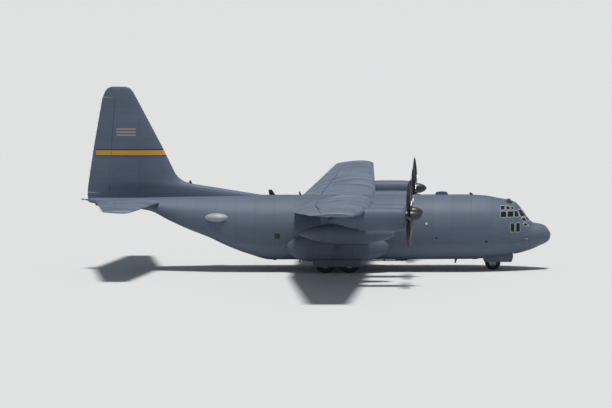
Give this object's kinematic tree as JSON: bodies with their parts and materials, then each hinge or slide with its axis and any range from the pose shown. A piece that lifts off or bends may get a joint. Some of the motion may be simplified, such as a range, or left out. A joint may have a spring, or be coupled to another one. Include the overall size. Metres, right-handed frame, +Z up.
{
  "type": "military transport plane, 1:2 scale model",
  "caption": "High-wing turboprop military transport plane with hollow hold, tail ramp, working doors, propellers and controls, parked on its gear.",
  "frame": {"origin": "centre of the bounding box on the ground plane under the wheels", "axes": "+X forward to the nose, +Y to the left wing tip, +Z up"},
  "size_m": [14.8968, 20.205, 5.83],
  "materials": {
    "hull_paint": "matt mid-grey paint on aluminium skin",
    "wing_paint": "matt mid-grey paint on aluminium skin",
    "radome_paint": "matt grey paint on glass-fibre",
    "window_glass": "clear dark panes",
    "interior_paint": "matt grey-green paint",
    "propeller_composite": "satin dark grey composite",
    "engine_metal": "dull metal",
    "gear_steel": "light grey enamel on steel",
    "tyre_rubber": "matt black rubber"
  },
  "bodies": {
    "airframe": {"wing_centre": "wing_paint", "wing_left": "wing_paint", "wing_right": "wing_paint", "centre_fuselage": "hull_paint", "cargo_floor": "interior_paint", "fuel_tank_left": "hull_paint", "fuel_tank_right": "hull_paint", "flight_deck": "interior_paint", "gear_fairing_left": "hull_paint", "gear_fairing_right": "hull_paint", "fin": "hull_paint", "forward_fuselage": "hull_paint", "tailplane": "wing_paint", "aft_fuselage": "hull_paint", "engine_inner_left": "engine_metal", "engine_inner_right": "engine_metal", "engine_outer_left": "engine_metal", "engine_outer_right": "engine_metal", "nacelle_outer_left": "hull_paint", "nacelle_outer_right": "hull_paint", "nacelle_inner_left": "hull_paint", "nacelle_inner_right": "hull_paint", "radome": "radome_paint", "tail_cone": "hull_paint", "cockpit_glazing": "window_glass", "main_gear_leg_left": "gear_steel", "main_gear_leg_right": "gear_steel", "nose_gear_leg": "gear_steel", "jump_door_left": "hull_paint", "jump_door_right": "hull_paint", "main_gear_door_outer_left": "hull_paint", "main_gear_door_outer_right": "hull_paint", "nose_gear_door_left": "hull_paint", "nose_gear_door_right": "hull_paint"},
    "propeller_inner_left": {"propeller_inner_left": "propeller_composite"},
    "propeller_inner_right": {"propeller_inner_right": "propeller_composite"},
    "propeller_outer_left": {"propeller_outer_left": "propeller_composite"},
    "propeller_outer_right": {"propeller_outer_right": "propeller_composite"},
    "main_wheel_front_left": {"main_wheel_front_left": "tyre_rubber"},
    "main_wheel_front_right": {"main_wheel_front_right": "tyre_rubber"},
    "main_wheel_rear_left": {"main_wheel_rear_left": "tyre_rubber"},
    "main_wheel_rear_right": {"main_wheel_rear_right": "tyre_rubber"},
    "nose_fork": {"nose_gear_fork": "gear_steel"},
    "nose_wheels": {"nose_wheels": "tyre_rubber"},
    "cargo_ramp": {"cargo_ramp": "hull_paint"},
    "cargo_door": {"cargo_door": "hull_paint"},
    "crew_door": {"crew_door": "hull_paint"},
    "rudder": {"rudder": "hull_paint"},
    "elevator_left": {"elevator_left": "wing_paint"},
    "elevator_right": {"elevator_right": "wing_paint"},
    "aileron_left": {"aileron_left": "wing_paint"},
    "aileron_right": {"aileron_right": "wing_paint"},
    "flap_inner_left": {"flap_inner_left": "wing_paint"},
    "flap_inner_right": {"flap_inner_right": "wing_paint"},
    "flap_outer_left": {"flap_outer_left": "wing_paint"},
    "flap_outer_right": {"flap_outer_right": "wing_paint"}
  },
  "joints": [
    {"name": "propeller_inner_left_spin", "type": "hinge", "parent": "airframe", "child": "propeller_inner_left", "pos_m": [3.0725, 2.475, 2.035], "axis": [1, 0, 0], "continuous": true},
    {"name": "propeller_inner_right_spin", "type": "hinge", "parent": "airframe", "child": "propeller_inner_right", "pos_m": [3.0725, -2.475, 2.035], "axis": [1, 0, 0], "continuous": true},
    {"name": "propeller_outer_left_spin", "type": "hinge", "parent": "airframe", "child": "propeller_outer_left", "pos_m": [3.0725, 5.1, 2.155], "axis": [1, 0, 0], "continuous": true},
    {"name": "propeller_outer_right_spin", "type": "hinge", "parent": "airframe", "child": "propeller_outer_right", "pos_m": [3.0725, -5.1, 2.155], "axis": [1, 0, 0], "continuous": true},
    {"name": "main_wheel_front_left_roll", "type": "hinge", "parent": "airframe", "child": "main_wheel_front_left", "pos_m": [1.1175, 1.0875, 0.355], "axis": [0, 1, 0], "continuous": true},
    {"name": "main_wheel_front_right_roll", "type": "hinge", "parent": "airframe", "child": "main_wheel_front_right", "pos_m": [1.1175, -1.0875, 0.355], "axis": [0, 1, 0], "continuous": true},
    {"name": "main_wheel_rear_left_roll", "type": "hinge", "parent": "airframe", "child": "main_wheel_rear_left", "pos_m": [0.3575, 1.0875, 0.355], "axis": [0, 1, 0], "continuous": true},
    {"name": "main_wheel_rear_right_roll", "type": "hinge", "parent": "airframe", "child": "main_wheel_rear_right", "pos_m": [0.3575, -1.0875, 0.355], "axis": [0, 1, 0], "continuous": true},
    {"name": "nose_steering", "type": "hinge", "parent": "airframe", "child": "nose_fork", "pos_m": [5.6225, 0, 0.4], "axis": [0, 0, 1], "range_deg": [-60, 60]},
    {"name": "nose_wheels_roll", "type": "hinge", "parent": "nose_fork", "child": "nose_wheels", "pos_m": [5.6225, 0, 0.2475], "axis": [0, 1, 0], "continuous": true},
    {"name": "cargo_ramp_hinge", "type": "hinge", "parent": "airframe", "child": "cargo_ramp", "pos_m": [-1.404, 0, 0.331], "axis": [0, -1, 0], "range_deg": [0, 30]},
    {"name": "cargo_door_hinge", "type": "hinge", "parent": "airframe", "child": "cargo_door", "pos_m": [-4.646, 0, 1.688], "axis": [0, -1, 0], "range_deg": [0, 31]},
    {"name": "crew_door_hinge", "type": "hinge", "parent": "airframe", "child": "crew_door", "pos_m": [5.2625, 0.729, 0.5265], "axis": [-1, 0, 0], "range_deg": [0, 100]},
    {"name": "rudder_hinge", "type": "hinge", "parent": "airframe", "child": "rudder", "pos_m": [-6.6125, 0, 2.42], "axis": [0.0814, 0, 0.9967], "range_deg": [-35, 35]},
    {"name": "elevator_left_hinge", "type": "hinge", "parent": "airframe", "child": "elevator_left", "pos_m": [-6.3525, 0.35, 2.175], "axis": [0.1072, 0.9942, 0], "range_deg": [-15, 40]},
    {"name": "elevator_right_hinge", "type": "hinge", "parent": "airframe", "child": "elevator_right", "pos_m": [-6.3525, -0.35, 2.175], "axis": [-0.1072, 0.9942, 0], "range_deg": [-15, 40]},
    {"name": "aileron_left_hinge", "type": "hinge", "parent": "airframe", "child": "aileron_left", "pos_m": [0.37865, 6.995, 2.42494], "axis": [0.0812, 0.9943, 0.0695], "range_deg": [-15, 25]},
    {"name": "aileron_right_hinge", "type": "hinge", "parent": "airframe", "child": "aileron_right", "pos_m": [0.37865, -6.995, 2.42494], "axis": [-0.0812, 0.9943, -0.0695], "range_deg": [-15, 25]},
    {"name": "flap_inner_left_track", "type": "hinge", "parent": "airframe", "child": "flap_inner_left", "pos_m": [0.10926, 1.165, 1.52775], "axis": [0, -1, 0], "range_deg": [0, 36]},
    {"name": "flap_inner_right_track", "type": "hinge", "parent": "airframe", "child": "flap_inner_right", "pos_m": [0.10926, -1.165, 1.52775], "axis": [0, -1, 0], "range_deg": [0, 36]},
    {"name": "flap_outer_left_track", "type": "hinge", "parent": "airframe", "child": "flap_outer_left", "pos_m": [0.11386, 2.86, 1.53211], "axis": [-0.0763, -0.9945, -0.0712], "range_deg": [0, 36]},
    {"name": "flap_outer_right_track", "type": "hinge", "parent": "airframe", "child": "flap_outer_right", "pos_m": [0.11386, -2.86, 1.53211], "axis": [0.0763, -0.9945, 0.0712], "range_deg": [0, 36]}
  ],
  "couplings": [
    {"joint": "elevator_right_hinge", "follows": "elevator_left_hinge", "ratio": 1},
    {"joint": "flap_outer_right_track", "follows": "flap_outer_left_track", "ratio": 1},
    {"joint": "flap_inner_left_track", "follows": "flap_outer_left_track", "ratio": 1},
    {"joint": "flap_inner_right_track", "follows": "flap_outer_left_track", "ratio": 1}
  ]
}
